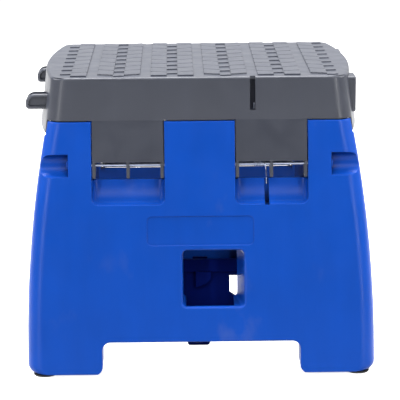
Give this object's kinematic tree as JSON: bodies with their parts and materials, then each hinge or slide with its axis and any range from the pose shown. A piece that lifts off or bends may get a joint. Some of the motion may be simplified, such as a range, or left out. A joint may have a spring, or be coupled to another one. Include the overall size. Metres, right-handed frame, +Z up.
{
  "type": "folding mounting block",
  "caption": "Low folding step: ribbed tread on two splayed leg panels, with hand holds, sprung hinges, a latch, rubber feet and side lugs that link to another.",
  "frame": {"origin": "centre of the footprint, on the floor", "axes": "+Z up, -Y towards the front panel, which has the hand hold and the latch, +X to its right"},
  "size_m": [0.358, 0.338, 0.305],
  "materials": {
    "grey_plastic": "satin moulded polypropylene",
    "blue_plastic": "satin moulded polypropylene",
    "navy_plastic": "satin moulded polypropylene, dark blue",
    "zinc_steel": "bright zinc plate",
    "black_rubber": "matt"
  },
  "bodies": {
    "top": {"tread": "grey_plastic", "hinge_pin_front_left": "zinc_steel", "hinge_pin_front_right": "zinc_steel", "hinge_pin_rear_left": "zinc_steel", "hinge_pin_rear_right": "zinc_steel", "torsion_spring_front": "zinc_steel", "torsion_spring_rear": "zinc_steel"},
    "front_leg": {"front_leg": "blue_plastic", "foot_front_left": "black_rubber", "foot_front_right": "black_rubber", "pin_plug_front_left": "blue_plastic", "pin_plug_front_right": "blue_plastic", "latch_pin": "zinc_steel", "latch_washer_left": "zinc_steel", "latch_washer_right": "zinc_steel"},
    "rear_leg": {"rear_leg": "blue_plastic", "foot_rear_left": "black_rubber", "foot_rear_right": "black_rubber", "pin_plug_rear_left": "blue_plastic", "pin_plug_rear_right": "blue_plastic"},
    "latch": {"latch_lever": "navy_plastic"}
  },
  "joints": [
    {"name": "front_hinge", "type": "hinge", "parent": "top", "child": "front_leg", "pos_m": [0, -0.13186, 0.2145], "axis": [1, 0, 0], "range_deg": [0, 98], "stiffness_Nm_per_rad": 0.3, "springref_deg": -28.65, "deforming": ["torsion_spring_front"]},
    {"name": "rear_hinge", "type": "hinge", "parent": "top", "child": "rear_leg", "pos_m": [0, 0.13449, 0.1755], "axis": [-1, 0, 0], "range_deg": [0, 99], "stiffness_Nm_per_rad": 0.3, "springref_deg": -28.65, "deforming": ["torsion_spring_rear"]},
    {"name": "latch_pivot", "type": "hinge", "parent": "front_leg", "child": "latch", "pos_m": [0, -0.11522, 0.103], "axis": [1, 0, 0], "range_deg": [0, 8]}
  ]
}
